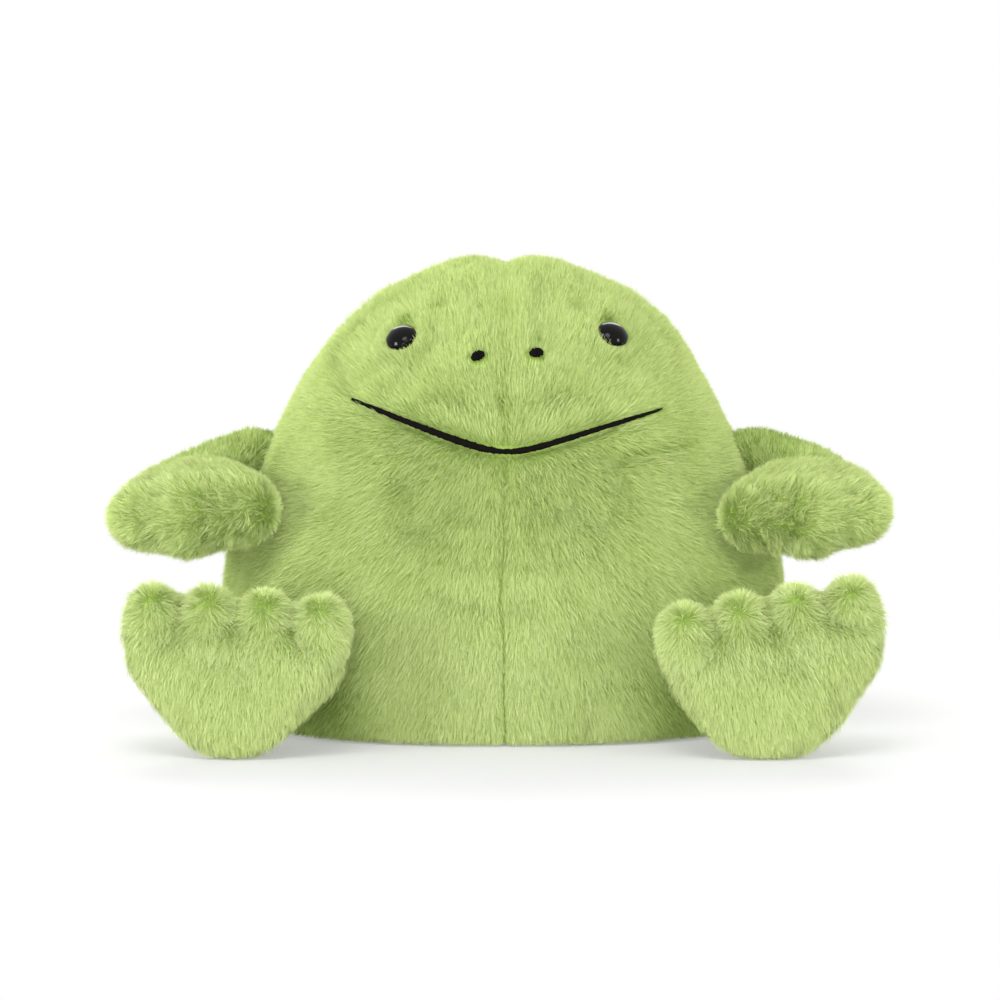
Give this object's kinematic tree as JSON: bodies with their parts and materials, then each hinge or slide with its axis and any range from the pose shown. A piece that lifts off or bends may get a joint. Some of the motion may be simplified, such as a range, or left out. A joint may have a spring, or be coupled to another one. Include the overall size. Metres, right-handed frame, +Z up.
{
  "type": "plush frog",
  "caption": "Small seated plush frog: a stuffed dome of body and head with stitched smile, button eyes, padded arms and upright webbed feet that turn at their seams.",
  "frame": {"origin": "on the surface it sits on, below the middle of its outer box", "axes": "+Z up, the face looks along -Y, +X is the frog's side at the right of the picture"},
  "size_m": [0.218, 0.1492, 0.132],
  "materials": {
    "green_plush": "matte",
    "fibre_filling": "matte",
    "pouch_cotton": "matte",
    "black_thread": "matte",
    "eye_plastic": "gloss",
    "washer_plastic": "satin"
  },
  "bodies": {
    "torso": {"body_left_panel": "green_plush", "body_right_panel": "green_plush", "base_panel": "green_plush", "body_filling": "fibre_filling", "pellet_pouch": "pouch_cotton", "left_eye": "eye_plastic", "right_eye": "eye_plastic", "left_eye_washer": "washer_plastic", "right_eye_washer": "washer_plastic", "left_nostril": "black_thread", "right_nostril": "black_thread", "mouth_stitching": "black_thread"},
    "left_arm": {"left_arm_upper_panel": "green_plush", "left_arm_lower_panel": "green_plush", "left_arm_filling": "fibre_filling"},
    "right_arm": {"right_arm_upper_panel": "green_plush", "right_arm_lower_panel": "green_plush", "right_arm_filling": "fibre_filling"},
    "left_leg": {"left_leg_sole_panel": "green_plush", "left_leg_upper_panel": "green_plush", "left_leg_filling": "fibre_filling"},
    "right_leg": {"right_leg_sole_panel": "green_plush", "right_leg_upper_panel": "green_plush", "right_leg_filling": "fibre_filling"}
  },
  "joints": [
    {"name": "left_shoulder", "type": "hinge", "parent": "torso", "child": "left_arm", "pos_m": [-0.07009, 0.01185, 0.07102], "axis": [0, 1, 0], "range_deg": [0, 60], "stiffness_Nm_per_rad": 0.02},
    {"name": "right_shoulder", "type": "hinge", "parent": "torso", "child": "right_arm", "pos_m": [0.07009, 0.01185, 0.07102], "axis": [0, -1, 0], "range_deg": [0, 60], "stiffness_Nm_per_rad": 0.02},
    {"name": "left_hip", "type": "hinge", "parent": "torso", "child": "left_leg", "pos_m": [-0.06289, -0.02397, 0.022], "axis": [0, 0, -1], "range_deg": [-12, 40], "stiffness_Nm_per_rad": 0.03},
    {"name": "right_hip", "type": "hinge", "parent": "torso", "child": "right_leg", "pos_m": [0.06289, -0.02397, 0.022], "axis": [0, 0, 1], "range_deg": [-12, 40], "stiffness_Nm_per_rad": 0.03}
  ]
}
